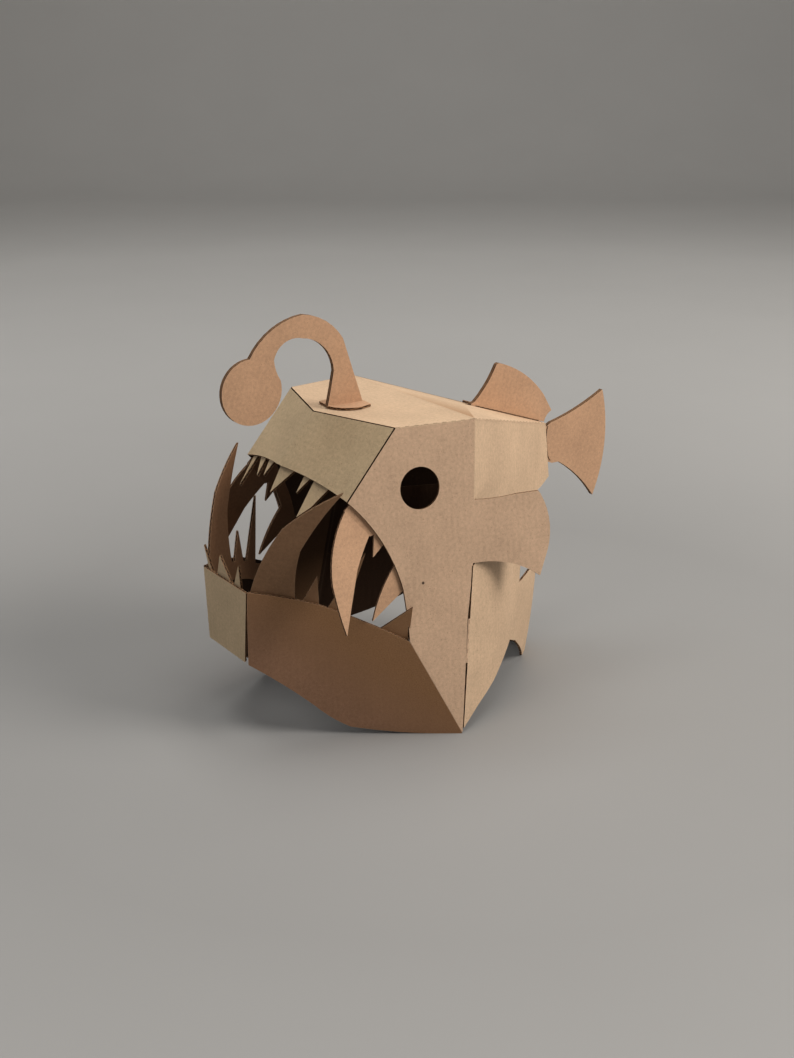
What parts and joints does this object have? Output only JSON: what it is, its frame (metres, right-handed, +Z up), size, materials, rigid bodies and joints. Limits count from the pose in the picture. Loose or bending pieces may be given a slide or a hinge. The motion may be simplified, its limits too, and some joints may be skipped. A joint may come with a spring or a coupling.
{
  "type": "cardboard fish mask",
  "caption": "Anglerfish head mask folded from brown corrugated board, with open toothed mouth, eye holes, lure on top and slotted fins.",
  "frame": {"origin": "middle of the bounding box in X and Y, on the table plane at the lowest point", "axes": "+Z up; -Y the way the mouth faces; +X the fish's left, the side nearer in the picture"},
  "size_m": [0.2878, 0.4666, 0.3932],
  "materials": {
    "board": "matte brown kraft liner",
    "liner": "matte brown kraft liner, inner side"
  },
  "bodies": {
    "root": {"crown_panel": "board", "snout_panel": "board", "jaw_front": "board", "tail_roof": "board", "lure": "board", "dorsal_fin": "board", "caudal_fin": "board", "left_cheek": "board", "right_cheek": "board", "left_jaw_side": "board", "right_jaw_side": "board", "left_tail_panel": "board", "right_tail_panel": "board", "left_neck_panel": "board", "right_neck_panel": "board", "left_upper_fangs": "liner", "right_upper_fangs": "liner", "left_lower_teeth": "liner", "right_lower_teeth": "liner", "upper_front_teeth": "liner", "lower_front_teeth": "liner"}
  },
  "joints": []
}
